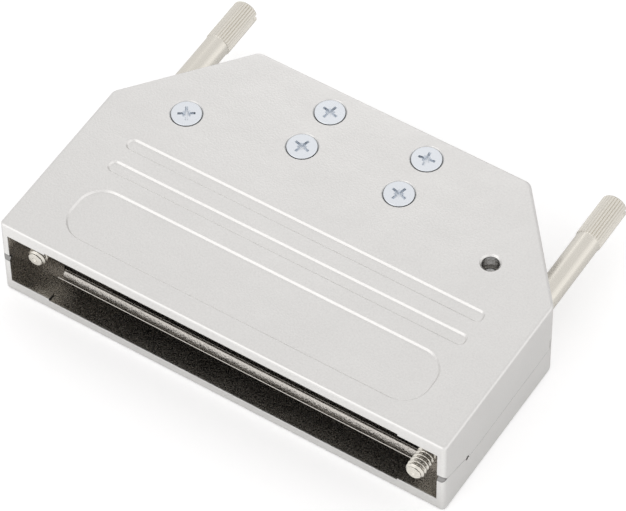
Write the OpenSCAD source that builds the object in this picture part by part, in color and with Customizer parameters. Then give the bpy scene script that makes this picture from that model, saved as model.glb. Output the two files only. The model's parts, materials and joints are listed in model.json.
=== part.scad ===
// Straight die-cast hood for a 37-way D-sub connector, with two long captive thumbscrews.
// X runs across the connector, +Y from the mating face to the cable end, +Z up.
// The origin is the middle of the mating face, on the parting plane. Millimetres.

/* [Connector] */
// Distance between the two thumbscrew axes
screw_spacing = 63.5; // [56:0.1:77]
// Reach of the connector's flange past each thumbscrew axis
flange_ear = 2.9; // [2.8:0.05:3.5]
// Height of the connector's flange
flange_h = 12.55; // [12.2:0.05:15.1]
// Distance from each thumbscrew axis to the taller middle of the mouth
body_inset = 3.15; // [2.6:0.05:3.8]
// Height of the mouth between the outer lips
lip_gap = 10; // [8.4:0.1:10.4]
// Height of the middle of the mouth
mouth_h = 10.7; // [10.5:0.1:12]

/* [Hood] */
// Length of the straight sides, from the mating face to the chamfered corners
side_len = 28.2; // [26.8:0.1:34]
// Length of the hood, from the mating face to the cable end
hood_len = 45.1; // [44.9:0.1:54]
// Width that each chamfered corner takes off the cable end
corner_in = 13.7; // [11:0.1:17]
// Radius of the four rear corners
corner_r = 1.5; // [0.5:0.1:2]
// Radius of the outer edges
edge_r = 0.45; // [0.1:0.05:0.5]
// Thickness of the side walls
side_wall = 1.25; // [1.05:0.05:1.5]
// Thickness of the walls at the chamfered corners and the cable end
rear_wall = 1.6; // [1.3:0.05:1.9]
// Thickness of the large outer faces
roof_t = 1.25; // [1:0.05:1.5]
// Skin that is left outside the flange slot
slot_skin = 0.9; // [0.75:0.05:1.1]
// Play on each side of the flange
flange_play = 0.2; // [0.1:0.05:0.3]
// Gap that shows between the two shells
seam = 0.1; // [0.04:0.01:0.12]
// How far the side skirt of each shell laps past the parting plane
skirt_h = 1.8; // [1.5:0.1:2.1]

/* [Flange slot] */
// Depth of the outer lips at the mating face
lip_t = 1.3; // [1:0.1:1.6]
// Distance from the mating face to the flange slot
slot_at = 4.15; // [3.5:0.05:5]
// Width of the flange slot, front to back
slot_t = 1.65; // [1.4:0.05:2]
// Width of the rail behind the slot
rail_t = 1.2; // [1:0.1:1.5]

/* [Outer face] */
// Distance from each side of the hood to the ends of the recesses
recess_inset = 7; // [5.8:0.1:8.4]
// Depth of the recesses
recess_d = 0.28; // [0.15:0.01:0.35]
// Distance from the mating face to the label field
field_at = 3.4; // [2.9:0.1:4]
// Width of the label field, front to back
field_w = 9.65; // [8.1:0.05:11.5]
// Corner radius of the label field
field_r = 4; // [2:0.1:4]
// Distance from the mating face to the first groove
groove_at = 15.7; // [15.3:0.1:17]
// Width of each groove
groove_w = 2.15; // [1.8:0.05:2.6]
// Distance from one groove to the next
groove_pitch = 4.6; // [3.9:0.05:5.5]

/* [Thumbscrews] */
// Radius over the thread
thread_r = 1.42; // [1.2:0.01:1.5]
// Length of the thread
thread_len = 11; // [9.2:0.1:13.2]
// Radius of the plain shank
shank_r = 1.86; // [1.7:0.01:1.9]
// Radius over the knurl
knurl_r = 2; // [1.95:0.01:2.4]
// Distance from the tip to the knurl
knurl_at = 46.1; // [43:0.1:55]
// Length of the knurl
knurl_len = 8.1; // [6.7:0.1:9.8]
// Number of ridges in the knurl
knurl_n = 28; // [22:1:40]
// Width of the screwdriver slot in the end of the knurl
slot_w = 0.8; // [0.6:0.1:1]
// Depth of the screwdriver slot
slot_d = 1.2; // [0.8:0.1:1.6]
// Radial clearance of the shank in its guides
guide_play = 0.1; // [0.08:0.01:0.15]
// Distance from the tip to the retaining ring
ring_at = 19; // [18:0.1:20]
// Outer radius of the retaining ring
ring_r = 3; // [2.6:0.1:3.1]
// Thickness of the retaining ring
ring_t = 0.6; // [0.5:0.05:0.7]
// Position of the left tip, behind the mating face
left_tip = 1.6; // [-4:0.05:4]
// Position of the right tip, behind the mating face
right_tip = -1.1; // [-4:0.05:4]
// How far the tip can stand out of the mating face
tip_out = 4.65; // [4.1:0.05:5.5]
// How far the tip can draw back behind the mating face
tip_in = 4.25; // [4.1:0.05:5]

/* [Small screws] */
// Radius over the thread
screw_r = 1.25; // [1.05:0.01:1.5]
// Radius of the countersunk head
head_r = 2.3; // [2.1:0.01:2.8]
// Length of each screw
screw_len = 12; // [10:0.1:12.6]
// Distance from the side of the hood to each shell screw
shell_screw_in = 11.15; // [9.6:0.05:12.8]
// Distance from the mating face to the shell screws
shell_screw_at = 30.05; // [29.2:0.05:32]

/* [Cable clamp] */
// Distance between the two screws of a clamp bar
clamp_pitch = 15.95; // [15:0.05:17]
// Distance from the cable end to the rear clamp bar's screws
clamp_end = 4.15; // [4.1:0.05:4.8]
// Distance between the two clamp bars
clamp_gap = 7.3; // [6.8:0.05:8]
// Length of a clamp bar
bar_len = 23; // [21.5:0.1:23.4]
// Width of a clamp bar
bar_w = 4.8; // [4.2:0.1:4.9]
// Thickness of a clamp bar
bar_t = 2.5; // [2.1:0.1:3]
// Radius of the cable exit
cable_r = 5.5; // [4.6:0.1:5.6]

/* [Hidden] */
$fn = 64;

eps = 0.01;
cut = 1;                                  // how far a cutting shape runs past a face

screw_x = screw_spacing / 2;
slot_hw = screw_x + flange_ear + flange_play;
hood_hw = slot_hw + side_wall;
slot_hh = flange_h / 2 + flange_play / 3;
hood_hh = slot_hh + slot_skin;
cavity_hh = hood_hh - roof_t;
body_hw = screw_x - body_inset;
slot_end = slot_at + slot_t;
rail_end = slot_end + rail_t;
front_r = 0.7;                            // radius of the two corners at the mating face

guide_r = shank_r + guide_play;
boss_r = guide_r + 1.05;                  // rounded guide around each thumbscrew
ring_w = ring_t + 0.1;                    // width of the ring's groove in the shank
ring_groove_r = shank_r - 0.56;
pocket_at = ring_at - tip_out - 0.05;
pocket_end = ring_at + tip_in + ring_w + 0.05;
pocket_hr = ring_r + 0.3;
rib_t = 1.3;                              // ribs before and after the ring's pocket
block_in = screw_x - shank_r + 0.05;      // inner face of the front guide block
channel_in = screw_x - pocket_hr - 1;     // inner face of the ring channel
block_end = pocket_at - rib_t;
channel_end = pocket_end + rib_t;

shell_screw_x = hood_hw - shell_screw_in;
clamp_y = [hood_len - clamp_end - clamp_gap, hood_len - clamp_end];
clamp_x = clamp_pitch / 2;
cheek_x = bar_len / 2 + 0.5;              // inner face of the walls beside the clamp bars
cheek_t = 1;
post_r = screw_r + 1.95;                  // screw post in the shells
hole_play = 0.15;                         // clearance around a screw that passes through
thread_play = 0.02;                       // clearance around a screw that is driven in
head_rim = 0.15;                          // straight rim of a countersunk head
seat_play = 0.01;                         // clearance between a head and its cone
nick = 0.65;                              // side of the nick along the seam at the mating face
peg_r = 1;
peg_h = 1.6;
peg_play = 0.1;
peg_x = cheek_x + cheek_t + 5.5;
peg_y = shell_screw_at + 6.5;
bar_z = -cavity_hh;                       // the clamp bars lie on the lower shell's floor

// ---- outlines -------------------------------------------------------------

function unit(v) = v / norm(v);

// Points of one rounded corner b between its neighbours a and c
function round_corner(a, b, c, r, n) =
    let (
        u = unit(a - b),
        v = unit(c - b),
        half = acos(u * v) / 2,
        mid = b + unit(u + v) * r / sin(half),
        s = b + u * r / tan(half) - mid,
        e = b + v * r / tan(half) - mid,
        a0 = atan2(s[1], s[0]),
        turn = ((atan2(e[1], e[0]) - a0 + 540) % 360) - 180
    )
    [for (i = [0 : n]) mid + r * [cos(a0 + turn * i / n), sin(a0 + turn * i / n)]];

// The hood's six-cornered outline, from the front left corner round to the front right one
corners = [
    [-hood_hw, 0], [-hood_hw, side_len], [-hood_hw + corner_in, hood_len],
    [hood_hw - corner_in, hood_len], [hood_hw, side_len], [hood_hw, 0]
];
corner_radii = [front_r, corner_r, corner_r, corner_r, corner_r, front_r];

module outline() {
    count = len(corners);
    polygon([
        for (i = [0 : count - 1])
            each round_corner(
                corners[(i + count - 1) % count], corners[i], corners[(i + 1) % count],
                corner_radii[i], 6
            )
    ]);
}

// A box between two corners that is mirrored about the plane X = 0
module pair_box(x0, x1, y0, y1, z0, z1) {
    for (side = [0, 1])
        mirror([side, 0, 0]) translate([x0, y0, z0]) cube([x1 - x0, y1 - y0, z1 - z0]);
}

// A box across the middle, x_half to each side
module mid_box(x_half, y0, y1, z0, z1) {
    translate([-x_half, y0, z0]) cube([2 * x_half, y1 - y0, z1 - z0]);
}

// A cylinder along +Y from y0 to y1
module bar_y(x, z, r, y0, y1) {
    translate([x, y0, z]) rotate([-90, 0, 0]) cylinder(r = r, h = y1 - y0);
}

// ---- the casting that both shells are made from ---------------------------------

// Outer form above the parting plane, with rounded upper edges
module casting_form() {
    hull() {
        translate([0, 0, seam / 2]) linear_extrude(hood_hh - edge_r - seam / 2) outline();
        for (a = [30, 60, 90])
            translate([0, 0, hood_hh - edge_r + edge_r * sin(a) - eps])
                linear_extrude(eps) offset(delta = -edge_r * (1 - cos(a))) outline();
    }
}

// Mouth, flange slot, wiring space and the pockets of the retaining rings
module casting_hollow() {
    mid_box(slot_hw, -cut, slot_end, -cut, lip_gap / 2);
    mid_box(body_hw, -cut, slot_end, -cut, mouth_h / 2);
    mid_box(slot_hw, lip_t, slot_end, -cut, mouth_h / 2);
    mid_box(slot_hw, slot_at, slot_end, -cut, slot_hh);
    mid_box(block_in, slot_at, rail_end + eps, -cut, mouth_h / 2);
    rail_chamfer();
    mid_box(block_in, rail_end, block_end, -cut, cavity_hh);
    mid_box(channel_in, rail_end, channel_end + eps, -cut, cavity_hh);
    pair_box(screw_x - pocket_hr, slot_hw, pocket_at, pocket_end, -cut, pocket_hr);
    translate([0, 0, -cut])
        linear_extrude(cavity_hh + cut)
            intersection() {
                offset(delta = -rear_wall) outline();
                translate([-slot_hw, channel_end]) square([2 * slot_hw, hood_len]);
            }
}

// Sloped front edge of the rail, which leads the flange into its slot
module rail_chamfer() {
    lead = 0.6;
    translate([-block_in, slot_end, mouth_h / 2]) rotate([90, 0, 90])
        linear_extrude(2 * block_in) polygon([
            [-eps, -eps], [lead + eps, -eps], [-eps, lead + eps]
        ]);
}

// Guides, screw posts, cable rib and cheeks that stand in the hollow
module casting_inside() {
    top = cavity_hh + roof_t / 2;
    for (side = [-1, 1]) {
        intersection() {
            bar_y(side * screw_x, 0, boss_r, slot_end, block_end + eps);
            translate([-hood_hw, 0, 0]) cube([2 * hood_hw, hood_len, hood_hh - roof_t / 2]);
        }
        translate([side * shell_screw_x, shell_screw_at, 0]) cylinder(r = post_r, h = top);
        translate([side * peg_x, peg_y, 0]) cylinder(r = peg_r + peg_play + 0.9, h = top);
    }
    translate([peg_x, peg_y, -peg_h]) cylinder(r = peg_r, h = peg_h + 1);
    mid_box(cheek_x + cheek_t / 2, mean_y(clamp_y) - 0.6, mean_y(clamp_y) + 0.6, 0, top);
    pair_box(cheek_x, cheek_x + cheek_t, clamp_y[0] - bar_w / 2 - 0.5, hood_len - rear_wall / 2, 0, top);
}

function mean_y(v) = (v[0] + v[1]) / 2;

// Skirt along the right side, which laps over the other shell
module casting_skirt() {
    translate([slot_hw, 0, 0]) rotate([90, 0, 90]) linear_extrude(side_wall) skirt_profile(0, seam);
}

// Rebate along the left side, for the other shell's skirt
module casting_rebate() {
    translate([-hood_hw - cut, 0, 0]) rotate([90, 0, 90]) linear_extrude(side_wall + cut)
        mirror([0, 1]) skirt_profile(seam, cut);
}

// Side view of the skirt: its edge slopes down from the mating face to the flange slot
module skirt_profile(gap, top) {
    polygon([
        [0.7, top], [0.7, -gap], [slot_end - 0.6, 0.6 - skirt_h - gap],
        [slot_end + 0.6, -skirt_h - gap], [skirt_end() + gap, -skirt_h - gap], [skirt_end() + gap, top]
    ]);
}

function skirt_end() = side_len - corner_r * 0.4;

// Hole and countersink for a screw driven from the outer face. The head seats on the cone,
// which opens wider than the head by the height of the head's rim.
module countersunk_hole(x, y) {
    hole_r = screw_r + hole_play;
    cone_h = head_depth() - hole_play + seat_play + cut;
    translate([x, y, 0]) {
        translate([0, 0, -peg_h]) cylinder(r = hole_r, h = hood_hh + peg_h + cut);
        translate([0, 0, hood_hh + cut - cone_h]) cylinder(r1 = hole_r, r2 = hole_r + cone_h, h = cone_h);
    }
}

function head_depth() = head_rim + head_r - screw_r;

// Threaded hole right through the right-hand post, chamfered at the outer face
module threaded_hole() {
    lead = 0.3;
    translate([shell_screw_x, shell_screw_at, 0]) {
        translate([0, 0, -peg_h]) cylinder(r = screw_r + thread_play, h = hood_hh + peg_h + cut);
        translate([0, 0, hood_hh - lead])
            cylinder(r1 = screw_r + thread_play, r2 = screw_r + thread_play + 2 * lead, h = 2 * lead);
    }
}

// Label field and two grooves. Their walls slope, so that the casting leaves its die.
module casting_recesses() {
    length = 2 * (hood_hw - recess_inset);
    translate([0, field_at + field_w / 2, hood_hh]) recess(length, field_w, field_r);
    for (i = [0, 1])
        translate([0, groove_at + groove_w / 2 + i * groove_pitch, hood_hh])
            recess(length, groove_w, groove_w / 2 - 0.1);
}

// Recess with rounded corners below z = 0. Its walls go on outwards above the face.
module recess(length, width, r) {
    x = length / 2;
    y = width / 2;
    top = 0.2;
    for (side = [-1, 1], end = [-1, 1])
        translate([side * (x - r), end * (y - r), -recess_d])
            cylinder(r1 = r - recess_d, r2 = r + top, h = recess_d + top);
    rotate([90, 0, 90]) translate([0, 0, r - x]) linear_extrude(2 * (x - r)) sloped(y, top);
    rotate([90, 0, 0]) translate([0, 0, r - y]) linear_extrude(2 * (y - r)) sloped(x, top);
}

module sloped(half, top) {
    polygon([
        [recess_d - half, -recess_d], [half - recess_d, -recess_d], [half + top, top], [-half - top, top]
    ]);
}

// Small relief in each side wall where the slot meets the lapped edge, and the nick
// along the parting line of the mating face
module casting_reliefs() {
    for (side = [-1, 1])
        translate([side * (hood_hw - side_wall / 2), slot_end + 0.1, -side * (skirt_h - 0.2)])
            rotate([0, 90, 0]) cylinder(r = 0.42, h = 2 * side_wall, center = true);
    rotate([45, 0, 0]) cube([2 * hood_hw + cut, nick, nick], center = true);
}

// One shell half, standing above the parting plane. clamped adds the clamp screws' seats.
module casting(clamped) {
    difference() {
        union() {
            difference() {
                casting_form();
                casting_hollow();
            }
            casting_inside();
            casting_skirt();
            if (clamped) clamp_seats();
        }
        for (side = [-1, 1]) bar_y(side * screw_x, 0, guide_r, slot_at, hood_len);
        bar_y(0, 0, cable_r, clamp_y[0], hood_len + cut);
        translate([-peg_x, peg_y, -cut]) cylinder(r = peg_r + peg_play, h = peg_h + peg_play + cut);
        casting_rebate();
        countersunk_hole(-shell_screw_x, shell_screw_at);
        threaded_hole();
        casting_recesses();
        casting_reliefs();
        if (clamped) for (x = [-clamp_x, clamp_x], y = clamp_y) countersunk_hole(x, y);
    }
}

module clamp_seats() {
    for (x = [-clamp_x, clamp_x], y = clamp_y)
        translate([x, y, cavity_hh - 1.6]) cylinder(r = head_r + 0.35, h = 1.6 + roof_t / 2);
}

module upper_shell() {
    color("#dedddA") casting(true);
}

module lower_shell() {
    color("#d2cecb") rotate([0, 180, 0]) casting(false);
}

// ---- screws, clamp bars, thumbscrews --------------------------------------------

// Countersunk screw with a cross recess. Its head is flush with z = 0 and it runs down.
module small_screw() {
    color("#dfe6ee") difference() {
        rotate_extrude() polygon([
            [0, 0], [head_r, 0], [head_r, -head_rim], [screw_r, -head_depth()],
            [screw_r, -screw_len + 0.4], [screw_r - 0.4, -screw_len], [0, -screw_len]
        ]);
        for (turn = [0, 90])
            rotate([0, 0, turn]) translate([0, 0, -0.4]) cube([2.5, 0.6, 1.0], center = true);
    }
}

module clamp_screw(side, row) {
    translate([side * clamp_x, clamp_y[row], hood_hh]) small_screw();
}

module clamp_bar(row) {
    color("#cfd2d2") translate([0, clamp_y[row], bar_z]) difference() {
        translate([-bar_len / 2, -bar_w / 2, 0]) cube([bar_len, bar_w, bar_t]);
        for (side = [-1, 1])
            translate([side * clamp_x, 0, -cut]) cylinder(r = screw_r + thread_play, h = bar_t + 2 * cut);
        bar_y(0, bar_t + 6.8, 8, -bar_w, bar_w);
    }
}

// Thumbscrew with its tip at y and its axis along +Y
module thumbscrew(x, y) {
    lead = 0.4;
    neck = 0.6;
    end_z = knurl_at + knurl_len;
    color("#d9d6cc") translate([x, y, 0]) rotate([-90, 0, 0]) {
        rotate_extrude() polygon([
            [0, 0], [thread_r - lead, 0], [thread_r, lead], [thread_r, thread_len - neck],
            [thread_r - lead, thread_len - neck], [thread_r - lead, thread_len],
            [shank_r - lead / 2, thread_len], [shank_r, thread_len + lead / 2],
            [shank_r, ring_at], [ring_groove_r, ring_at],
            [ring_groove_r, ring_at + ring_w], [shank_r, ring_at + ring_w],
            [shank_r, knurl_at + lead], [0, knurl_at + lead]
        ]);
        difference() {
            intersection() {
                translate([0, 0, knurl_at]) linear_extrude(knurl_len) knurl_section();
                rotate_extrude() polygon([
                    [0, knurl_at], [knurl_r - lead / 2, knurl_at], [knurl_r, knurl_at + lead / 2],
                    [knurl_r, end_z - lead], [knurl_r - lead, end_z], [0, end_z]
                ]);
            }
            translate([0, 0, end_z]) cube([2 * knurl_r + cut, slot_w, 2 * slot_d], center = true);
        }
    }
}

// Straight knurl: shallow V grooves between pointed ridges
module knurl_section() {
    ridge = 0.18;
    step = 180 / knurl_n;
    polygon([
        for (i = [0 : 2 * knurl_n - 1])
            (knurl_r - (i % 2) * ridge) * [cos(i * step), sin(i * step)]
    ]);
}

// Open retaining ring that snaps into the shank's groove from below
module retaining_ring(x, y) {
    bore = ring_groove_r + thread_play;
    color("#8f9296") translate([x, y + ring_at + (ring_w - ring_t) / 2, 0])
        rotate([-90, 0, 0]) linear_extrude(ring_t) difference() {
            circle(ring_r);
            circle(bore);
            translate([-bore * 0.8, 0]) square([bore * 1.6, ring_r + cut]);
            for (side = [-1, 1]) translate([side * bore, -bore * 0.7]) circle(bore * 0.5);
        }
}

upper_shell();
lower_shell();
translate([-shell_screw_x, shell_screw_at, hood_hh]) small_screw();  // upper_shell_screw
translate([shell_screw_x, shell_screw_at, -hood_hh]) rotate([0, 180, 0]) small_screw();  // lower_shell_screw
clamp_screw(-1, 0);  // front_left_clamp_screw
clamp_screw(1, 0);  // front_right_clamp_screw
clamp_screw(-1, 1);  // rear_left_clamp_screw
clamp_screw(1, 1);  // rear_right_clamp_screw
clamp_bar(0);  // front_clamp_bar
clamp_bar(1);  // rear_clamp_bar
thumbscrew(-screw_x, left_tip);  // left_thumbscrew
thumbscrew(screw_x, right_tip);  // right_thumbscrew
retaining_ring(-screw_x, left_tip);  // left_retaining_ring
retaining_ring(screw_x, right_tip);  // right_retaining_ring
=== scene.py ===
"""Looks of a die-cast D-sub hood: plated shells, cross-recessed screws and captive thumbscrews."""

import json
import math

import bmesh
import bpy
from bpy.props import FloatProperty, FloatVectorProperty, IntProperty, PointerProperty
from mathutils import Euler, Matrix, Vector


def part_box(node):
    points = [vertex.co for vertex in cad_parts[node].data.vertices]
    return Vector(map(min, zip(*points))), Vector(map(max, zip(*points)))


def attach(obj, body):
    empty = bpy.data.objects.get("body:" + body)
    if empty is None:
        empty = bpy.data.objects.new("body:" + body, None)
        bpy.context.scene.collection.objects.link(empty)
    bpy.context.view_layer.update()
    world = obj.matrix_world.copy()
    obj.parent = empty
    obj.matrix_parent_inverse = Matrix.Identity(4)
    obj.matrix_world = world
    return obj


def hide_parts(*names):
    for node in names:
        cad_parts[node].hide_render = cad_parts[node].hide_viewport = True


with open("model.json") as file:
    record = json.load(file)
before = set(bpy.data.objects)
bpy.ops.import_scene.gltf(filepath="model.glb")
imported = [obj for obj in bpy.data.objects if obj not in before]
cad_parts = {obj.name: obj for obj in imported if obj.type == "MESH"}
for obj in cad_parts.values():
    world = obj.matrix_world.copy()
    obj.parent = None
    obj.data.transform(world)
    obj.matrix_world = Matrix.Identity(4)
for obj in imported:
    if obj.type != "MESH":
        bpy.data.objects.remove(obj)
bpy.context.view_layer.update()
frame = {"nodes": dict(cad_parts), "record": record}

bl_info = {
    "name": "D-sub hood",
    "version": (1, 0, 0),
    "blender": (4, 5, 0),
    "location": "3D View > Sidebar > D-sub hood",
    "description": "Finishes the shells and builds the screws of a die-cast connector hood",
    "category": "Add Mesh",
}

MM = 0.001
SHELLS = ("upper_shell", "lower_shell")
CLAMP_BARS = ("front_clamp_bar", "rear_clamp_bar")
RINGS = ("left_retaining_ring", "right_retaining_ring")
THUMBSCREWS = ("left_thumbscrew", "right_thumbscrew")
# How far each screw's recess happens to be turned, in degrees
SMALL_SCREWS = {
    "upper_shell_screw": 33,
    "lower_shell_screw": 10,
    "front_left_clamp_screw": 76,
    "front_right_clamp_screw": 75,
    "rear_left_clamp_screw": 78,
    "rear_right_clamp_screw": 8,
}


# ---- colours, nodes and meshes ---------------------------------------------------


def linear(code):
    """A linear RGBA colour from an sRGB hex code such as '#dedddc'."""
    values = [int(code[i : i + 2], 16) / 255 for i in (1, 3, 5)]
    return [v / 12.92 if v <= 0.04045 else ((v + 0.055) / 1.055) ** 2.4 for v in values] + [1.0]


def add(tree, kind, sockets=(), **settings):
    """Adds a node. settings are its own properties, and sockets gives inputs a value or a link.

    A link comes from a socket, or from a node, which stands for its first output.
    """
    node = tree.nodes.new(kind)
    for name, value in settings.items():
        setattr(node, name, value)
    for key, value in dict(sockets).items():
        if isinstance(value, bpy.types.Node):
            value = value.outputs[0]
        if isinstance(value, bpy.types.NodeSocket):
            tree.links.new(value, node.inputs[key])
        else:
            node.inputs[key].default_value = value
    return node


def colour(name, code, description):
    return FloatVectorProperty(
        name=name,
        description=description,
        subtype="COLOR",
        size=4,
        min=0,
        max=1,
        default=linear(code),
    )


def length(name, millimetres, description):
    return FloatProperty(
        name=name,
        description=description,
        unit="LENGTH",
        precision=5,
        min=0,
        default=millimetres * MM,
    )


# ---- what a user may change ------------------------------------------------------


class HOOD_PG_finish(bpy.types.PropertyGroup):
    shell: colour("Shell plating", "#e7e6e4", "Satin nickel over the zinc casting")
    # Painted shade: the hollow inside the shells takes this darker colour
    shell_hollow_shade: colour("Shell inside", "#bebab4", "Thin, dull plating inside the shells")
    screw: colour("Screw zinc", "#e6eaef", "Bluish zinc plating of the small screws")
    thumbscrew: colour("Thumbscrew nickel", "#dedad1", "Warm nickel plating of the thumbscrews")
    bar: colour("Clamp bar", "#bfc1c2", "Dull nickel plating of the clamp bars")
    ring: colour("Retaining ring", "#76787c", "Dark spring steel")
    grain: length("Casting grain", 0.28, "Width of the grain that shows through the plating")
    edge: length("Edge radius", 0.09, "How far the edges of the castings are broken")


class HOOD_PG_thumbscrew(bpy.types.PropertyGroup):
    pitch: length("Pitch", 0.635, "Distance between threads, for 40 threads to the inch")
    major: length("Major radius", 1.42, "Radius over the thread")
    minor: length("Minor radius", 1.08, "Radius at the root of the thread")
    thread: length("Thread length", 11, "Length of the thread from the tip")
    neck: length("Neck length", 0.6, "Length of the turned neck behind the thread")
    dimple: length("Centre mark", 0.42, "Radius of the lathe centre's mark in the tip")
    shank: length("Shank radius", 1.86, "Radius of the plain shank")
    groove_at: length("Groove place", 19, "Distance from the tip to the ring's groove")
    groove: length("Groove width", 0.7, "Width of the ring's groove")
    groove_radius: length("Groove radius", 1.3, "Radius at the bottom of the ring's groove")
    knurl_at: length("Knurl place", 46.1, "Distance from the tip to the knurl")
    knurl_radius: length("Knurl radius", 2.0, "Radius over the ridges of the knurl")
    ridge: length("Ridge height", 0.15, "Height of the knurl's ridges")
    slot: length("Slot width", 0.8, "Width of the screwdriver slot")
    slot_depth: length("Slot depth", 1.2, "Depth of the screwdriver slot")
    ridges: IntProperty(
        name="Ridges",
        description="Number of ridges round the knurl",
        min=8,
        max=60,
        default=28,
    )


class HOOD_PG_small_screw(bpy.types.PropertyGroup):
    pitch: length("Pitch", 0.45, "Distance between threads")
    major: length("Major radius", 1.25, "Radius over the thread")
    minor: length("Minor radius", 0.98, "Radius at the root of the thread")
    head: length("Head radius", 2.2, "Radius of the countersunk head")
    rim: length("Head rim", 0.22, "Height of the head's straight rim")
    wing: length("Recess reach", 1.28, "Distance from the axis to the end of each wing")
    wing_width: length("Wing width", 0.42, "Width of the recess's wings at the face")
    recess_depth: length("Recess depth", 0.6, "Depth of the cross recess")


class HOOD_PG_slot(bpy.types.PropertyGroup):
    front: length("Slot front", 4.15, "Distance from the mating face to the flange slot")
    rear: length("Slot rear", 5.8, "Distance from the mating face to the rail behind the slot")
    land: length("Land", 5.35, "Height of the land before the slot, from the seam")
    floor: length("Slot floor", 6.34, "Height of the slot's floor, from the seam")
    reach: length("Reach", 29.9, "Distance from the middle to each end of the slot's edges")
    lead: length("Rail lead", 0.6, "Width of the rail's square edge")
    fillet: length("Fillet width", 0.6, "How far the fillet comes forward on the slot's floor")
    fillet_height: length("Fillet height", 0.56, "How far the fillet rises on the rail")
    flash: length("Flash height", 0.11, "How far the flash stands over the land")
    flash_width: length("Flash width", 0.1, "Thickness of the flash")


class HOOD_PG_stage(bpy.types.PropertyGroup):
    azimuth: FloatProperty(
        name="Azimuth",
        description="Direction that the camera looks in, from +Y",
        subtype="ANGLE",
        default=math.radians(-33.27),
    )
    elevation: FloatProperty(
        name="Elevation",
        description="How far the camera looks down",
        subtype="ANGLE",
        default=math.radians(52.28),
    )
    roll: FloatProperty(
        name="Roll",
        description="How far the camera is turned about its own axis",
        subtype="ANGLE",
        default=math.radians(-0.95),
    )
    distance: length("Distance", 600, "Distance from the camera to the point that it aims at")
    lens: FloatProperty(
        name="Focal length",
        description="Focal length in millimetres on a 36 mm sensor",
        min=10,
        default=248.1,
    )
    aim: FloatVectorProperty(
        name="Aim",
        description="Point that the camera aims at",
        subtype="TRANSLATION",
        unit="LENGTH",
        default=(0.00065, 0.02285, 0.00002),
    )
    floor: length("Floor", 1600, "Width of the floor")


# ---- materials -------------------------------------------------------------------


def new_material(name):
    material = bpy.data.materials.new(name)
    material.use_nodes = True
    material.node_tree.nodes.clear()
    return material, material.node_tree


def finish_material(tree, shader):
    add(tree, "ShaderNodeOutputMaterial", {"Surface": shader})


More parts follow.
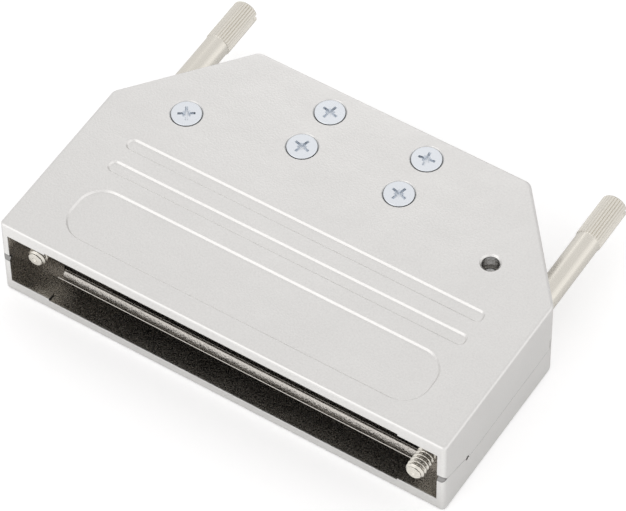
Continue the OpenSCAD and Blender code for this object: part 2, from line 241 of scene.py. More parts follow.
def casting_material(sizes):
    """Zinc die casting with satin nickel plating.

    The plating is a bright, slightly warm metal. Its grain is the die's own, softened by the
    plating, and the edges are rounded a little, so that they catch the light as thin lines.
    """
    material, tree = new_material("nickel_plated_zinc_casting")
    place = add(tree, "ShaderNodeTexCoord").outputs["Object"]
    grain = add(
        tree,
        "ShaderNodeTexNoise",
        {"Vector": place, "Scale": 1 / sizes.grain, "Detail": 3, "Roughness": 0.6},
    ).outputs["Fac"]
    cloud = add(
        tree,
        "ShaderNodeTexNoise",
        {"Vector": place, "Scale": 1 / (9 * MM), "Detail": 2, "Roughness": 0.5},
    ).outputs["Fac"]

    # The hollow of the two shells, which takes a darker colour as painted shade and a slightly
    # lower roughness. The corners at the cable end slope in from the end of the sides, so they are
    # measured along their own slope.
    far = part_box("upper_shell")[1]
    side_end = 28.2 * MM
    slope = 0.81
    blend = -0.05 * MM
    axes = add(tree, "ShaderNodeSeparateXYZ", {"Vector": place}).outputs
    across = add(tree, "ShaderNodeMath", {0: axes[0]}, operation="ABSOLUTE")
    above = add(tree, "ShaderNodeMath", {0: axes[2]}, operation="ABSOLUTE")
    sloping = add(
        tree,
        "ShaderNodeMath",
        {0: axes[1], 1: slope, 2: across},
        operation="MULTIPLY_ADD",
    )
    # Each limit is a distance, its value where the wall starts, and the width of the change
    limits = (
        (across, far.x - 1.2 * MM, blend),
        (above, far.z - 0.85 * MM, blend),
        (axes[1], far.y - 0.8 * MM, blend),
        (sloping, far.x + slope * side_end - 1.0 * MM, blend),
        (axes[1], 0.05 * MM, 0.25 * MM),
    )
    inside = 1.0
    for away, limit, width in limits:
        within = add(
            tree,
            "ShaderNodeMapRange",
            {"Value": away, "From Min": limit, "From Max": limit + width},
        )
        inside = add(tree, "ShaderNodeMath", {0: inside, 1: within}, operation="MULTIPLY")

    # Sockets 6 and 7 of a Mix node are its colours, and its output 2 is the mixed colour. The
    # hollow gets the darker colour, which is painted shade.
    tone = add(
        tree,
        "ShaderNodeMix",
        {"Factor": inside, 6: sizes.shell, 7: sizes.shell_hollow_shade},
        data_type="RGBA",
    )
    shade = add(
        tree,
        "ShaderNodeMapRange",
        {"Value": cloud, "From Min": 0.3, "From Max": 0.7, "To Min": 0.985, "To Max": 1.0},
    )
    # Pits in the grain look a little darker. The gaps round the screws and other crevices get
    # painted shade from ambient occlusion
    pits = add(
        tree,
        "ShaderNodeMapRange",
        {"Value": grain, "From Min": 0.35, "From Max": 0.65, "To Min": 0.94, "To Max": 1.0},
    )
    open_air = add(
        tree,
        "ShaderNodeAmbientOcclusion",
        {"Distance": 0.3 * MM},
        samples=6,
    ).outputs["AO"]
    painted_crevice_shade = add(
        tree,
        "ShaderNodeMapRange",
        {"Value": open_air, "From Min": 0.2, "From Max": 0.6, "To Min": 0.2, "To Max": 1.0},
    )
    # The notches at the ends of the seam get painted shade
    notch_edge = 0.68 * MM
    from_corner = add(tree, "ShaderNodeMath", {0: above, 1: axes[1]}, operation="ADD")
    painted_notch_shade = add(
        tree,
        "ShaderNodeMapRange",
        {
            "Value": from_corner,
            "From Min": notch_edge,
            "From Max": notch_edge + 0.04 * MM,
            "To Min": 0.35,
            "To Max": 1.0,
        },
    )
    for part in (pits, painted_crevice_shade, painted_notch_shade):
        shade = add(tree, "ShaderNodeMath", {0: shade, 1: part}, operation="MULTIPLY")
    base = add(
        tree,
        "ShaderNodeVectorMath",
        {0: tone.outputs[2], "Scale": shade},
        operation="SCALE",
    )
    rough = add(
        tree,
        "ShaderNodeMapRange",
        {"Value": grain, "From Min": 0.35, "From Max": 0.65, "To Min": 0.32, "To Max": 0.44},
    )
    gloss = add(tree, "ShaderNodeMath", {0: inside, 1: 0.12}, operation="MULTIPLY")
    rough = add(tree, "ShaderNodeMath", {0: rough, 1: gloss}, operation="SUBTRACT")
    soft_edge = add(tree, "ShaderNodeBevel", {"Radius": sizes.edge}, samples=6)
    # The wide cast swell is many times as high as the grain
    height = add(
        tree,
        "ShaderNodeMath",
        {0: cloud, 1: 6.0, 2: grain},
        operation="MULTIPLY_ADD",
    )
    bump = add(
        tree,
        "ShaderNodeBump",
        {"Strength": 1.0, "Distance": 0.04 * MM, "Height": height, "Normal": soft_edge},
    )
    shader = add(
        tree,
        "ShaderNodeBsdfPrincipled",
        {"Base Color": base, "Metallic": 1.0, "Roughness": rough, "Normal": bump},
    )
    finish_material(tree, shader)
    return material


def turned_material(name, tint, roughness, mark, edge, along):
    """Steel with the fine marks of the lathe or the drawing die, and with broken edges.

    mark is the width of a mark, and the marks run across the axis along: 1 for Y and 2 for Z.
    """
    material, tree = new_material(name)
    place = add(tree, "ShaderNodeTexCoord").outputs["Object"]
    # A mark runs all the way round, or about 11 mm along, and is as wide as mark says
    scale = [90, 90, 90]
    scale[along] = 1 / mark
    stretched = add(tree, "ShaderNodeMapping", {"Vector": place, "Scale": scale})
    marks = add(
        tree,
        "ShaderNodeTexNoise",
        {"Vector": stretched, "Scale": 1, "Detail": 3, "Roughness": 0.7},
    ).outputs["Fac"]
    pits = add(
        tree,
        "ShaderNodeTexNoise",
        {"Vector": place, "Scale": 1 / (0.2 * MM), "Detail": 2},
    ).outputs["Fac"]
    both = add(tree, "ShaderNodeMath", {0: marks, 1: pits}, operation="ADD")
    rough = add(
        tree,
        "ShaderNodeMapRange",
        {
            "Value": both,
            "From Min": 0.7,
            "From Max": 1.3,
            "To Min": roughness - 0.05,
            "To Max": roughness + 0.07,
        },
    )
    soft_edge = add(tree, "ShaderNodeBevel", {"Radius": edge}, samples=6)
    bump = add(
        tree,
        "ShaderNodeBump",
        {"Strength": 0.3, "Distance": 0.01 * MM, "Height": both, "Normal": soft_edge},
    )
    shader = add(
        tree,
        "ShaderNodeBsdfPrincipled",
        {"Base Color": tint, "Metallic": 1.0, "Roughness": rough, "Normal": bump},
    )
    finish_material(tree, shader)
    return material


# ---- shared shapes ---------------------------------------------------------------


def new_object(name, mesh):
    piece = bpy.data.objects.new(name, mesh)
    bpy.context.scene.collection.objects.link(piece)
    return piece


def lathe(name, profile, steps=96):
    """A closed solid turned about Z from (radius, height) points that start and end on it."""
    shape = bmesh.new()
    rings = []
    for radius, height in profile:
        if radius == 0:
            rings.append([shape.verts.new((0, 0, height))])
            continue
        turns = [2 * math.pi * i / steps for i in range(steps)]
        spots = [(radius * math.cos(a), radius * math.sin(a), height) for a in turns]
        rings.append([shape.verts.new(spot) for spot in spots])
    for low, high in zip(rings, rings[1:]):
        for i in range(steps):
            corners = [low[i % len(low)], low[(i + 1) % len(low)]]
            corners += [high[(i + 1) % len(high)], high[i % len(high)]]
            shape.faces.new(list(dict.fromkeys(corners)))
    bmesh.ops.recalc_face_normals(shape, faces=shape.faces)
    mesh = bpy.data.meshes.new(name)
    shape.to_mesh(mesh)
    shape.free()
    return mesh


def turned_tree(name, sizes, radius_of):
    """A Geometry Nodes tree that rolls a grid up into a closed body turned about Z.

    sizes maps each named input to its default. radius_of(tree, inputs, turn, height) returns
    the node that gives the radius at a turn (0 to 1) and a height from the lower end.
    """
    tree = bpy.data.node_groups.new(name, "GeometryNodeTree")
    tree.interface.new_socket("Geometry", in_out="OUTPUT", socket_type="NodeSocketGeometry")
    kinds = {int: "NodeSocketInt", float: "NodeSocketFloat"}
    for label, value in sizes.items():
        kind = kinds.get(type(value), "NodeSocketMaterial")
        socket = tree.interface.new_socket(label, in_out="INPUT", socket_type=kind)
        if value is not None:
            socket.default_value = value
    inputs = add(tree, "NodeGroupInput").outputs
    steps = {"Vertices X": inputs["Steps round"], "Vertices Y": inputs["Steps along"]}
    grid = add(tree, "GeometryNodeMeshGrid", {"Size X": 1, "Size Y": 1, **steps})
    position = add(tree, "GeometryNodeInputPosition")
    spot = add(tree, "ShaderNodeSeparateXYZ", {0: position}).outputs
    turn = add(tree, "ShaderNodeMath", {0: spot[0], 1: 0.5}, operation="ADD")
    share = add(tree, "ShaderNodeMath", {0: spot[1], 1: 0.5}, operation="ADD")
    height = add(tree, "ShaderNodeMath", {0: share, 1: inputs["Length"]}, operation="MULTIPLY")
    radius = radius_of(tree, inputs, turn, height)
    # The first and last rows draw in to the axis and close the ends
    past_first = add(tree, "ShaderNodeMath", {0: share, 1: 0.0001}, operation="GREATER_THAN")
    before_last = add(tree, "ShaderNodeMath", {0: share, 1: 0.9999}, operation="LESS_THAN")
    for open_row in (past_first, before_last):
        radius = add(tree, "ShaderNodeMath", {0: radius, 1: open_row}, operation="MULTIPLY")
    angle = add(tree, "ShaderNodeMath", {0: turn, 1: 2 * math.pi}, operation="MULTIPLY")
    sides = []
    for operation in ("COSINE", "SINE"):
        part = add(tree, "ShaderNodeMath", {0: angle}, operation=operation)
        sides.append(add(tree, "ShaderNodeMath", {0: radius, 1: part}, operation="MULTIPLY"))
    rolled = add(tree, "ShaderNodeCombineXYZ", {0: sides[0], 1: sides[1], 2: height})
    body = add(tree, "GeometryNodeSetPosition", {"Geometry": grid, "Position": rolled})
    body = add(tree, "GeometryNodeMergeByDistance", {"Geometry": body, "Distance": 1e-7})
    body = add(tree, "GeometryNodeRealizeInstances", {"Geometry": body})
    body = add(tree, "GeometryNodeSetMaterial", {"Geometry": body, "Material": inputs["Material"]})
    add(tree, "NodeGroupOutput", {0: body})
    return tree


def thread_radius(tree, inputs, turn, height):
    """A right-hand V thread with flat crests and roots, and a chamfer at the lower end."""
    major, minor = inputs["Major radius"], inputs["Minor radius"]
    turns = add(tree, "ShaderNodeMath", {0: height, 1: inputs["Pitch"]}, operation="DIVIDE")
    phase = add(tree, "ShaderNodeMath", {0: turns, 1: turn}, operation="SUBTRACT")
    phase = add(tree, "ShaderNodeMath", {0: phase}, operation="FRACT")
    tooth = add(tree, "ShaderNodeMath", {0: phase, 1: 2, 2: -1}, operation="MULTIPLY_ADD")
    tooth = add(tree, "ShaderNodeMath", {0: tooth}, operation="ABSOLUTE")
    # An eighth of the pitch is flat at the crest, and a quarter at the root
    tooth = add(tree, "ShaderNodeMath", {0: tooth, 1: 0.25}, operation="SUBTRACT")
    tooth = add(tree, "ShaderNodeMath", {0: tooth, 1: 0.625}, operation="DIVIDE", use_clamp=True)
    depth = add(tree, "ShaderNodeMath", {0: major, 1: minor}, operation="SUBTRACT")
    radius = add(tree, "ShaderNodeMath", {0: tooth, 1: depth, 2: minor}, operation="MULTIPLY_ADD")
    end = add(tree, "ShaderNodeMath", {0: major, 1: inputs["Chamfer"]}, operation="SUBTRACT")
    chamfer = add(tree, "ShaderNodeMath", {0: end, 1: height}, operation="ADD")
    return add(tree, "ShaderNodeMath", {0: radius, 1: chamfer}, operation="MINIMUM")


def knurl_radius(tree, inputs, turn, height):
    """Straight ridges with rounded crests, chamfered at both ends."""
    ridge_height, root, outer = (
        inputs[label] for label in ("Ridge height", "Root radius", "Outer radius")
    )
    phase = add(tree, "ShaderNodeMath", {0: turn, 1: inputs["Ridges"]}, operation="MULTIPLY")
    phase = add(tree, "ShaderNodeMath", {0: phase}, operation="FRACT")
    ridge = add(tree, "ShaderNodeMath", {0: phase, 1: 2, 2: -1}, operation="MULTIPLY_ADD")
    ridge = add(tree, "ShaderNodeMath", {0: ridge}, operation="ABSOLUTE")
    ridge = add(tree, "ShaderNodeMath", {0: 1, 1: ridge}, operation="SUBTRACT")
    ridge = add(tree, "ShaderNodeMath", {0: ridge, 1: 1.6}, operation="MULTIPLY", use_clamp=True)
    radius = add(
        tree,
        "ShaderNodeMath",
        {0: ridge, 1: ridge_height, 2: root},
        operation="MULTIPLY_ADD",
    )
    end = add(tree, "ShaderNodeMath", {0: outer, 1: inputs["Chamfer"]}, operation="SUBTRACT")
    left = add(tree, "ShaderNodeMath", {0: inputs["Length"], 1: height}, operation="SUBTRACT")
    to_end = add(tree, "ShaderNodeMath", {0: height, 1: left}, operation="MINIMUM")
    chamfer = add(tree, "ShaderNodeMath", {0: end, 1: to_end}, operation="ADD")
    return add(tree, "ShaderNodeMath", {0: radius, 1: chamfer}, operation="MINIMUM")


def grown(name, tree, values):
    """The plain mesh that a Geometry Nodes tree makes with these input values."""
    piece = new_object(name, bpy.data.meshes.new(name))
    modifier = piece.modifiers.new(name, "NODES")
    modifier.node_group = tree
    for item in tree.interface.items_tree:
        if item.in_out == "INPUT" and item.name in values:
            modifier[item.identifier] = values[item.name]
    mesh = plain_mesh(piece)
    bpy.data.objects.remove(piece)
    return mesh


def plain_mesh(piece):
    """The piece's mesh with its modifiers applied."""
    evaluated = piece.evaluated_get(bpy.context.evaluated_depsgraph_get())
    return bpy.data.meshes.new_from_object(evaluated)


def combine(base, others, operation):
    """base joined with, or cut by, the other meshes as solids."""
    piece = new_object("solid", base)
    tools = [new_object("tool", mesh) for mesh in others]
    for tool in tools:
        modifier = piece.modifiers.new("solid", "BOOLEAN")
        modifier.object = tool
        modifier.operation = operation
        modifier.solver = "EXACT"
    mesh = plain_mesh(piece)
    for item in [piece, *tools]:
        bpy.data.objects.remove(item)
    return mesh


def outward(mesh):
    """The mesh with its seams welded and its faces turned outwards."""
    shape = bmesh.new()
    shape.from_mesh(mesh)
    bmesh.ops.remove_doubles(shape, verts=shape.verts, dist=1e-7)
    bmesh.ops.recalc_face_normals(shape, faces=shape.faces)
    shape.to_mesh(mesh)
    shape.free()
    return mesh


def place_piece(name, mesh, matrix, material, node):
    """Puts a copy of the mesh in place as a piece that stands for the node and rides as it did."""
    mesh = mesh.copy()
    mesh.name = name
    mesh.transform(matrix)
    mesh.materials.clear()
    mesh.materials.append(material)
    mesh.polygons.foreach_set("material_index", [0] * len(mesh.polygons))
    mesh.polygons.foreach_set("use_smooth", [True] * len(mesh.polygons))
    mesh.set_sharp_from_angle(angle=math.radians(32))
    piece = new_object(name, mesh)
    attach(piece, body_of(node))
    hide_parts(node)


def paint(node, material):
    """Gives a piece that the CAD made its material."""
    piece = frame["nodes"][node]
    piece.data.materials.clear()
    piece.data.materials.append(material)


def body_of(node):
    for body, nodes in frame["record"]["behaviour"]["bodies"].items():
        if node in nodes:
            return body
    raise ValueError(f"{node} is in no body")


# ---- pieces ----------------------------------------------------------------------


class HOOD_OT_shells(bpy.types.Operator):
    """Plates the two shells with satin nickel"""

    bl_idname = "hood.shells"
    bl_label = "Finish the shells"

    def execute(self, context):
        material = casting_material(context.scene.hood_finish)
        for node in SHELLS:
            paint(node, material)
        return {"FINISHED"}


class HOOD_OT_slot_edges(bpy.types.Operator):
    """Builds the cast fillets and the flash along the flange slots"""

    bl_idname = "hood.slot_edges"
    bl_label = "Build the slot edges"

    def execute(self, context):
        sizes = context.scene.hood_slot
        # These edges are part of the castings, which are already finished
        material = frame["nodes"]["upper_shell"].data.materials[0]
        for node, side in (("upper_shell", 1), ("lower_shell", -1)):
            piece = new_object(node + "_slot_edges", slot_edge_mesh(sizes, side))
            piece.data.materials.append(material)
            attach(piece, body_of(node))
        return {"FINISHED"}


def slot_edge_mesh(sizes, side):
    """Three strips along X. Each outline gives (distance from the mating face, height) points."""
    sunk = 0.1 * MM
    rail_back = sizes.rear + sizes.lead
    rail_low = sizes.land + sizes.lead
    fillet_front = sizes.rear - sizes.fillet
    fillet_top = sizes.floor - sizes.fillet_height
    flash_front = sizes.front - sizes.flash_width
    outlines = (
        # The rail's front edge, which the casting leaves square
        (
            (sizes.rear, sizes.land),
            (rail_back, sizes.land),
            (rail_back + sunk, sizes.land + 1.5 * sunk),
            (sizes.rear + sunk, rail_low + 1.5 * sunk),
            (sizes.rear, rail_low),
        ),
        # The fillet in the rear corner of the slot
        (
            (sizes.rear, fillet_top),
            (sizes.rear + sunk, fillet_top),
            (sizes.rear + sunk, sizes.floor + sunk),
            (fillet_front, sizes.floor + sunk),
            (fillet_front, sizes.floor),
        ),
        # The flash along the front edge of the slot
        (
            (sizes.front, sizes.land - sizes.flash),
            (sizes.front, sizes.land + 0.7 * sunk),
            (flash_front, sizes.land + 0.7 * sunk),
            (flash_front, sizes.land),
        ),
    )
    shape = bmesh.new()
    for outline in outlines:
        ends = []
        for x in (-sizes.reach, sizes.reach):
            ends.append([shape.verts.new((x, y, side * z)) for y, z in outline])
            shape.faces.new(ends[-1])
        for i in range(len(outline)):
            shape.faces.new((ends[0][i - 1], ends[0][i], ends[1][i], ends[1][i - 1]))
    bmesh.ops.recalc_face_normals(shape, faces=shape.faces)
    mesh = bpy.data.meshes.new("slot_edges")
    shape.to_mesh(mesh)
    shape.free()
    return mesh


class HOOD_OT_clamp_bars(bpy.types.Operator):
    """Finishes the clamp bars inside the cable end"""

    bl_idname = "hood.clamp_bars"
    bl_label = "Finish the clamp bars"

    def execute(self, context):
        # Drawn steel bar with dull nickel plating: a grey metal with faint lines along the bar
        tint = context.scene.hood_finish.bar
        material = turned_material(
            "nickel_plated_steel_bar",
            tint,
            roughness=0.38,
            mark=0.3 * MM,
            edge=0.1 * MM,
            along=1,
        )
        for node in CLAMP_BARS:
            paint(node, material)
        return {"FINISHED"}


class HOOD_OT_rings(bpy.types.Operator):
    """Finishes the retaining rings of the thumbscrews"""

    bl_idname = "hood.rings"
    bl_label = "Finish the retaining rings"

    def execute(self, context):
        # Spring steel that was stamped and left bare: a dark metal that hardly shows its marks
        tint = context.scene.hood_finish.ring
        material = turned_material(
            "stamped_spring_steel",
            tint,
            roughness=0.35,
            mark=0.3 * MM,
            edge=0.05 * MM,
            along=1,
        )
        for node in RINGS:
            paint(node, material)
        return {"FINISHED"}


class HOOD_OT_small_screws(bpy.types.Operator):
    """Builds the six countersunk screws with their cross recesses and threads"""

    bl_idname = "hood.small_screws"
    bl_label = "Build the small screws"

    def execute(self, context):
        sizes = context.scene.hood_small_screw
        low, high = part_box("upper_shell_screw")
        mesh = small_screw_mesh(sizes, high.z - low.z)
        # Cold-headed steel with bright zinc plating: a clean bluish white metal
        tint = context.scene.hood_finish.screw
        material = turned_material(
            "bluish_zinc_plated_steel",
            tint,
            roughness=0.3,
            mark=0.15 * MM,
            edge=0.05 * MM,
            along=2,
        )
        for node, turn in SMALL_SCREWS.items():
            low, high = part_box(node)
            middle = (low + high) / 2
            up = node != "lower_shell_screw"
            flip = Matrix.Rotation(0 if up else math.pi, 4, "Y")
            spot = Vector((middle.x, middle.y, high.z if up else low.z))
            matrix = Matrix.Translation(spot) @ flip @ Matrix.Rotation(math.radians(turn), 4, "Z")
            place_piece(node + "_plated", mesh, matrix, material, node)
        return {"FINISHED"}


def small_screw_mesh(sizes, total):
    """A countersunk screw that runs down Z from its head, which is flush with Z = 0."""
    # The cone is as high as it is wide, and a core runs on from it into the thread
    neck = sizes.rim + sizes.head - sizes.major
    broken = 0.06 * MM
    core = sizes.major * 0.9
    core_top = -neck - 0.1 * sizes.major
    core_end = -neck - 3 * sizes.pitch
    head = lathe(
        "screw_head",
        [
            (0, 0),
            (sizes.head - broken, 0),
            (sizes.head, -broken),
            (sizes.head, -sizes.rim),
            (core, core_top),
            (core, core_end),
            (0, core_end),
        ],
    )
    values = {
        "Length": total - neck,
        "Pitch": sizes.pitch,
        "Major radius": sizes.major,
        "Minor radius": sizes.minor,
        "Chamfer": 0.4 * MM,
        "Steps round": 37,
        "Steps along": int((total - neck) / sizes.pitch * 10),
    }
    tree = turned_tree("Machine thread", thread_inputs(), thread_radius)
    thread = grown("screw_thread", tree, values)
    thread.transform(Matrix.Translation((0, 0, -total)))
    body = combine(head, [outward(thread)], "UNION")
    return combine(body, recess_cutters(sizes), "DIFFERENCE")


def thread_inputs():
    return {
        "Length": 0.01,
        "Pitch": 0.0005,
        "Major radius": 0.00125,
        "Minor radius": 0.00098,
        "Chamfer": 0.0004,
        "Steps round": 37,
        "Steps along": 200,
        "Material": None,
    }


def recess_cutters(sizes):
    """The cross recess: two tapered blades across each other, and a square point between them."""
    over = 0.2 * MM
    # How far a wing reaches out with height, and how wide it is below and above the face
    slant = 0.42
    low_share, high_share = 0.72, 1.05
    # The point's radius at its ends, as shares of a wing's reach
    point_low, point_high = 0.28, 0.72
    cutters = []
    for quarter in (0, 1):
        blade = bmesh.new()
        bmesh.ops.create_cube(blade, size=1)
        for corner in blade.verts:
            low = corner.co.z < 0
            depth = -sizes.recess_depth if low else over
            reach = sizes.wing + depth * slant
            half = sizes.wing_width / 2 * (low_share if low else high_share)
            x = math.copysign(reach, corner.co.x)
            y = math.copysign(half, corner.co.y)
            corner.co = Vector((x, y, depth))
        blade.transform(Matrix.Rotation(quarter * math.pi / 2, 4, "Z"))
        cutters.append(blade)
    point = bmesh.new()
    bmesh.ops.create_cone(
        point,
        cap_ends=True,
        segments=4,
        radius1=point_low * sizes.wing,
        radius2=point_high * sizes.wing,
        depth=sizes.recess_depth + over,
    )
    point.transform(Matrix.Translation((0, 0, (over - sizes.recess_depth) / 2)))
    point.transform(Matrix.Rotation(math.pi / 4, 4, "Z"))
    cutters.append(point)
    meshes = []
    for i, cutter in enumerate(cutters):
        bmesh.ops.recalc_face_normals(cutter, faces=cutter.faces)
        mesh = bpy.data.meshes.new(f"recess_{i}")
        cutter.to_mesh(mesh)
        cutter.free()
        meshes.append(mesh)
    return meshes


class HOOD_OT_thumbscrews(bpy.types.Operator):
    """Builds the two captive thumbscrews with their threads, knurls and slots"""

    bl_idname = "hood.thumbscrews"
    bl_label = "Build the thumbscrews"

    def execute(self, context):
        sizes = context.scene.hood_thumbscrew
        low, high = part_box("left_thumbscrew")
        mesh = thumbscrew_mesh(sizes, high.y - low.y)
        # Steel turned in a lathe and plated with nickel: a warm metal with marks round the axis
        tint = context.scene.hood_finish.thumbscrew
        material = turned_material(
            "nickel_plated_turned_steel",
            tint,
            roughness=0.27,
            mark=0.12 * MM,
            edge=0.04 * MM,
            along=1,
        )
        for node in THUMBSCREWS:
            low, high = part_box(node)
            spot = Vector(((low.x + high.x) / 2, low.y, (low.z + high.z) / 2))
            matrix = Matrix.Translation(spot) @ Matrix.Rotation(-math.pi / 2, 4, "X")
            place_piece(node + "_turned", mesh, matrix, material, node)
        return {"FINISHED"}


def thumbscrew_mesh(sizes, total):
    """A thumbscrew that stands on its tip at the origin, with its axis along Z."""
    lead = 0.2 * MM
    inside = 1 * MM
    thread_end = sizes.thread - sizes.neck
    neck = sizes.minor - 0.06 * MM
    shank = lathe(
        "shank",
        [
            (0, thread_end - inside),
            (neck, thread_end - inside),
            (neck, sizes.thread),
            (sizes.shank - lead, sizes.thread),
            (sizes.shank, sizes.thread + lead),
            (sizes.shank, sizes.groove_at),
            (sizes.groove_radius, sizes.groove_at),
            (sizes.groove_radius, sizes.groove_at + sizes.groove),
            (sizes.shank, sizes.groove_at + sizes.groove),
            (sizes.shank, sizes.knurl_at + inside),
            (0, sizes.knurl_at + inside),
        ],
    )
    thread = grown(
        "thumbscrew_thread",
        turned_tree("Panel thread", thread_inputs(), thread_radius),
        {
            "Length": thread_end,
            "Pitch": sizes.pitch,
            "Major radius": sizes.major,
            "Minor radius": sizes.minor,
            "Chamfer": 0.45 * MM,
            "Steps round": 49,
            "Steps along": int(thread_end / sizes.pitch * 12),
        },
    )
    knurl_inputs = {
        "Length": 0.008,
        "Outer radius": 0.002,
        "Root radius": 0.0018,
        "Ridge height": 0.0002,
        "Ridges": 28,
        "Chamfer": 0.0004,
        "Steps round": 200,
        "Steps along": 60,
        "Material": None,
    }
    knurl = grown(
        "thumbscrew_knurl",
        turned_tree("Straight knurl", knurl_inputs, knurl_radius),
        {
            "Length": total - sizes.knurl_at,
            "Outer radius": sizes.knurl_radius,
            "Root radius": sizes.knurl_radius - sizes.ridge,
            "Ridge height": sizes.ridge,
            "Ridges": sizes.ridges,
            "Chamfer": 0.35 * MM,
            "Steps round": sizes.ridges * 8 + 1,
            "Steps along": 80,
        },
    )
    knurl.transform(Matrix.Translation((0, 0, sizes.knurl_at)))
    body = combine(shank, [outward(thread), outward(knurl)], "UNION")
    slot = bmesh.new()
    bmesh.ops.create_cube(slot, size=1)
    for corner in slot.verts:
        corner.co.x *= 3 * sizes.knurl_radius
        corner.co.y *= sizes.slot
        corner.co.z = total + corner.co.z * 2 * sizes.slot_depth
    cutter = bpy.data.meshes.new("screwdriver_slot")
    slot.to_mesh(cutter)
    slot.free()
    over = 0.05 * MM
    mark = lathe("centre_mark", [(0, -over), (sizes.dimple + over, -over), (0, sizes.dimple)], 32)
    return combine(body, [cutter, mark], "DIFFERENCE")


# ---- stage -----------------------------------------------------------------------


class HOOD_OT_stage(bpy.types.Operator):
    """Lays the floor and sets up the light and the camera"""

    bl_idname = "hood.stage"
    bl_label = "Set up the stage"

    def execute(self, context):
        scene = context.scene
        stage = scene.hood_stage
        scene.view_settings.view_transform = "Standard"
        make_floor(stage)
        make_world(scene)
        make_lamps()
        make_camera(scene, stage)
        return {"FINISHED"}


def make_floor(stage):
    """A pale floor with the object's shadow, lifted to white for the camera and in reflections."""
    lift_seen = 0.4
    lift_mirrored = {"To Min": 0.12, "To Max": 0.4}
    mesh = bpy.data.meshes.new("floor")
    half = stage.floor / 2
    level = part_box("lower_shell")[0].z
    ends = ((-half, -half), (half, -half), (half, half), (-half, half))
    corners = [(x, y, level) for x, y in ends]
    mesh.from_pydata(corners, [], [(0, 1, 2, 3)])
    floor = new_object("floor", mesh)
    material, tree = new_material("matt_white_card")
    rays = add(tree, "ShaderNodeLightPath").outputs
    place = add(tree, "ShaderNodeTexCoord").outputs["Object"]
    ahead = add(tree, "ShaderNodeSeparateXYZ", {0: place}).outputs[1]
    in_front = add(
        tree,
        "ShaderNodeMapRange",
        {"Value": ahead, "From Min": 0.0, "From Max": -4 * MM, **lift_mirrored},
    )
    mirrored = add(
        tree,
        "ShaderNodeMath",
        {0: rays["Is Glossy Ray"], 1: in_front},
        operation="MULTIPLY",
    )
    lift = add(
        tree,
        "ShaderNodeMath",
        {0: rays["Is Camera Ray"], 1: lift_seen, 2: mirrored},
        operation="MULTIPLY_ADD",
    )
    card = add(tree, "ShaderNodeBsdfDiffuse", {"Color": linear("#dedede")})
    glow = add(tree, "ShaderNodeEmission", {"Color": linear("#ffffff"), "Strength": lift})
    shader = add(tree, "ShaderNodeAddShader", {0: card, 1: glow})
    finish_material(tree, shader)
    mesh.materials.append(material)


def make_world(scene):
    """A pale tent round the object, brighter in front of it than behind."""
    world = bpy.data.worlds.new("light_tent")
    scene.world = world
    world.use_nodes = True
    tree = world.node_tree
    tree.nodes.clear()
    direction = add(tree, "ShaderNodeTexCoord").outputs["Generated"]
    # Brighter to the front left and to the right, and darker close to the horizon behind. Each
    # row is a direction, how closely a ray has to keep to it, and the change in strength.
    strength = 0.92
    for toward, near, far, change in (
        ((-0.34, -0.79, 0.51), 0.8, 0.97, 0.6),
        ((1, 0, 0), 0.45, 0.8, 0.3),
        ((0, 1, 0), 0.72, 1.0, -0.3),
    ):
        facing = add(
            tree, "ShaderNodeVectorMath", {0: direction, 1: toward}, operation="DOT_PRODUCT"
        ).outputs["Value"]
        part = add(
            tree,
            "ShaderNodeMapRange",
            {"Value": facing, "From Min": near, "From Max": far, "To Min": 0.0, "To Max": change},
            interpolation_type="SMOOTHSTEP",
        )
        strength = add(tree, "ShaderNodeMath", {0: part, 1: strength}, operation="ADD")
    glow = add(tree, "ShaderNodeBackground", {"Color": linear("#fbfafa"), "Strength": strength})
    add(tree, "ShaderNodeOutputWorld", {"Surface": glow})


def make_lamps():
    """A soft lamp low behind the object, to its left, which the roof picks up towards the rear."""
    lamp = bpy.data.lights.new("softbox", "AREA")
    lamp.shape = "DISK"
    lamp.size = 0.12
    lamp.energy = 0.026
    holder = new_object("softbox", lamp)
    holder.location = (-0.12, 0.25, 0.15)
    toward = Vector((0, 0.02, 0)) - holder.location
    holder.rotation_euler = toward.to_track_quat("-Z", "Y").to_euler()


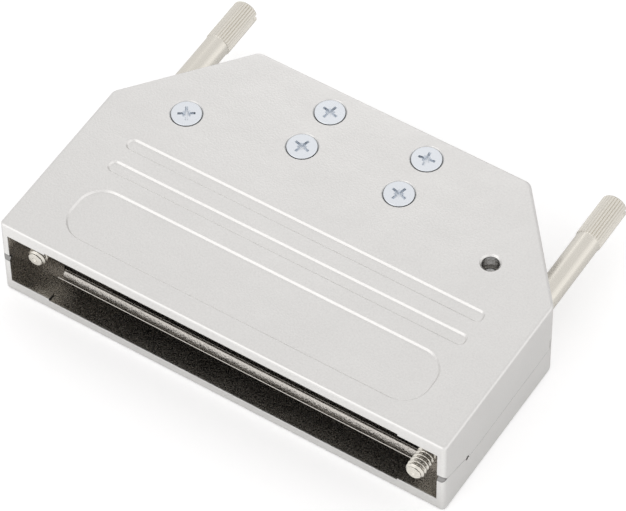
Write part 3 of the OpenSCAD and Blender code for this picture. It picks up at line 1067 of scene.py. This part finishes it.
def make_camera(scene, stage):
    data = bpy.data.cameras.new("camera")
    data.lens = stage.lens
    data.sensor_width = 36
    data.sensor_fit = "HORIZONTAL"
    data.clip_start = 0.01
    data.clip_end = 10
    camera = new_object("camera", data)
    turn = Euler((math.pi / 2 - stage.elevation, 0, -stage.azimuth)).to_matrix()
    turn = turn @ Matrix.Rotation(stage.roll, 3, "Z")
    back = turn @ Vector((0, 0, stage.distance))
    camera.matrix_world = Matrix.Translation(Vector(stage.aim) + back) @ turn.to_4x4()
    scene.camera = camera


# ---- add-on ----------------------------------------------------------------------


class HOOD_PT_panel(bpy.types.Panel):
    bl_label = "D-sub hood"
    bl_idname = "HOOD_PT_panel"
    bl_space_type = "VIEW_3D"
    bl_region_type = "UI"
    bl_category = "D-sub hood"

    def draw(self, context):
        layout = self.layout
        for group in GROUPS:
            box = layout.box()
            values = getattr(context.scene, group)
            for name in GROUPS[group].__annotations__:
                box.prop(values, name)
        for operator in OPERATORS:
            layout.operator(operator.bl_idname)


GROUPS = {
    "hood_finish": HOOD_PG_finish,
    "hood_thumbscrew": HOOD_PG_thumbscrew,
    "hood_small_screw": HOOD_PG_small_screw,
    "hood_slot": HOOD_PG_slot,
    "hood_stage": HOOD_PG_stage,
}
OPERATORS = (
    HOOD_OT_shells,
    HOOD_OT_slot_edges,
    HOOD_OT_clamp_bars,
    HOOD_OT_rings,
    HOOD_OT_small_screws,
    HOOD_OT_thumbscrews,
    HOOD_OT_stage,
)


def register():
    for item in (*GROUPS.values(), *OPERATORS, HOOD_PT_panel):
        bpy.utils.register_class(item)
    for name, group in GROUPS.items():
        setattr(bpy.types.Scene, name, PointerProperty(type=group))


def unregister():
    for name in GROUPS:
        delattr(bpy.types.Scene, name)
    for item in (HOOD_PT_panel, *reversed(OPERATORS), *reversed(GROUPS.values())):
        bpy.utils.unregister_class(item)


def main():
    register()
    for operator in OPERATORS:
        group, name = operator.bl_idname.split(".")
        getattr(getattr(bpy.ops, group), name)()


if __name__ == "__main__":
    main()
